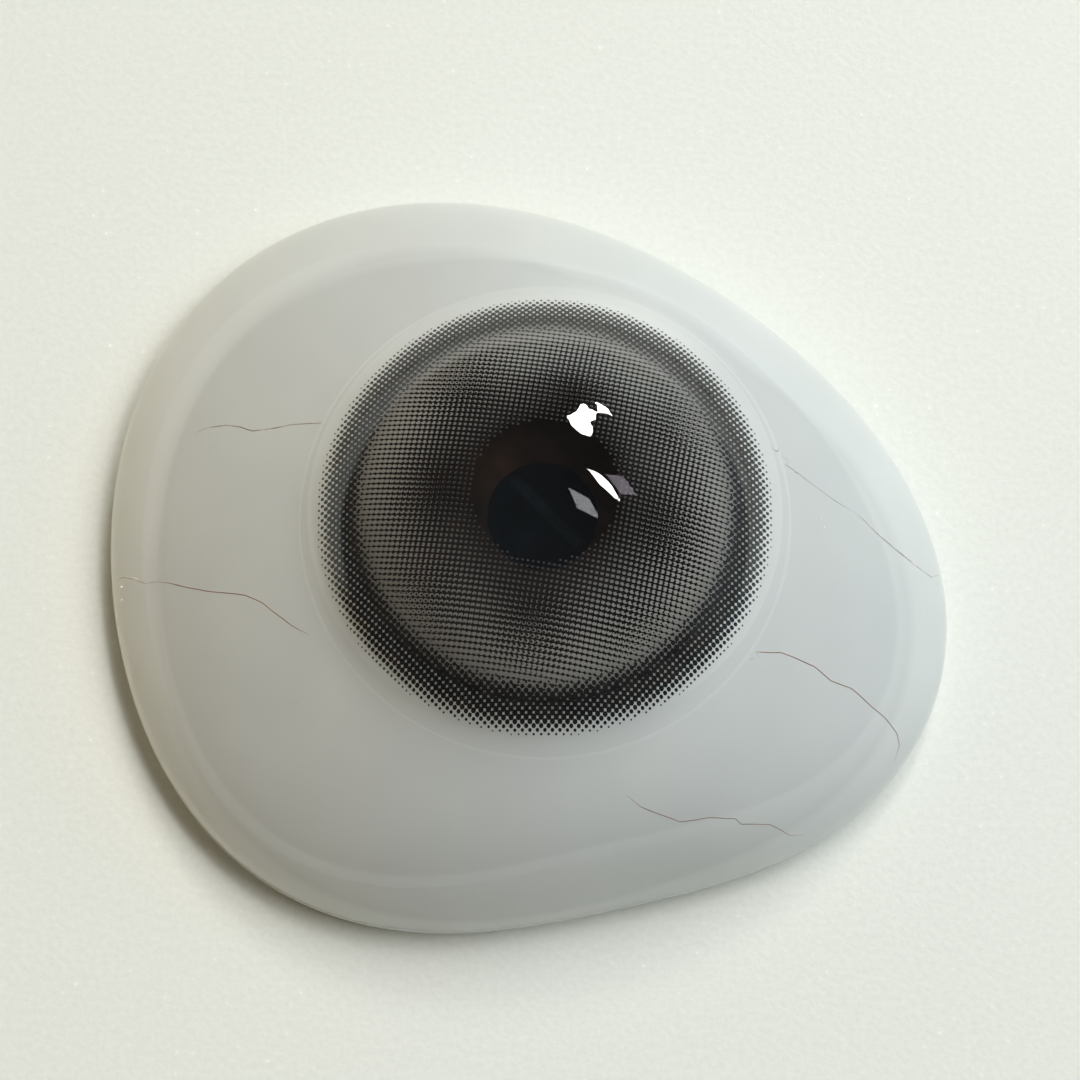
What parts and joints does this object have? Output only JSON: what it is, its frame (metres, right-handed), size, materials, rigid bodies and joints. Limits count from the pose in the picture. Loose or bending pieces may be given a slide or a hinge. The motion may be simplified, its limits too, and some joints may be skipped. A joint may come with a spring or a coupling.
{
  "type": "ocular prosthesis with coloured contact lens",
  "caption": "Artificial eye shell of white and clear acrylic, hollow behind, with brown iris, pupil and fine veins, and a dot-printed soft contact lens over its dome.",
  "frame": {"origin": "middle of the outline's box, on the plane that the rim rests on", "axes": "+Z out of the front through the pupil, +X along the outline's longest extent towards its pointed end"},
  "size_m": [0.025, 0.0224, 0.0091],
  "materials": {
    "white_acrylic": "milky white acrylic, polished",
    "brown_iris_paint": "very dark brown paint",
    "black_pupil_paint": "black paint",
    "red_thread": "fine red silk thread",
    "clear_acrylic": "clear acrylic, polished",
    "clear_hydrogel": "clear wet hydrogel",
    "dark_ring_ink": "black dot print",
    "grey_iris_ink": "grey dot print"
  },
  "bodies": {
    "root": {"white_body": "white_acrylic", "iris_disc": "brown_iris_paint", "pupil_disc": "black_pupil_paint", "vein_left": "red_thread", "vein_upper_left": "red_thread", "vein_upper_right": "red_thread", "vein_right": "red_thread", "vein_lower_right": "red_thread", "clear_front": "clear_acrylic", "contact_lens": "clear_hydrogel", "ring_print": "dark_ring_ink", "iris_print": "grey_iris_ink"}
  },
  "joints": []
}
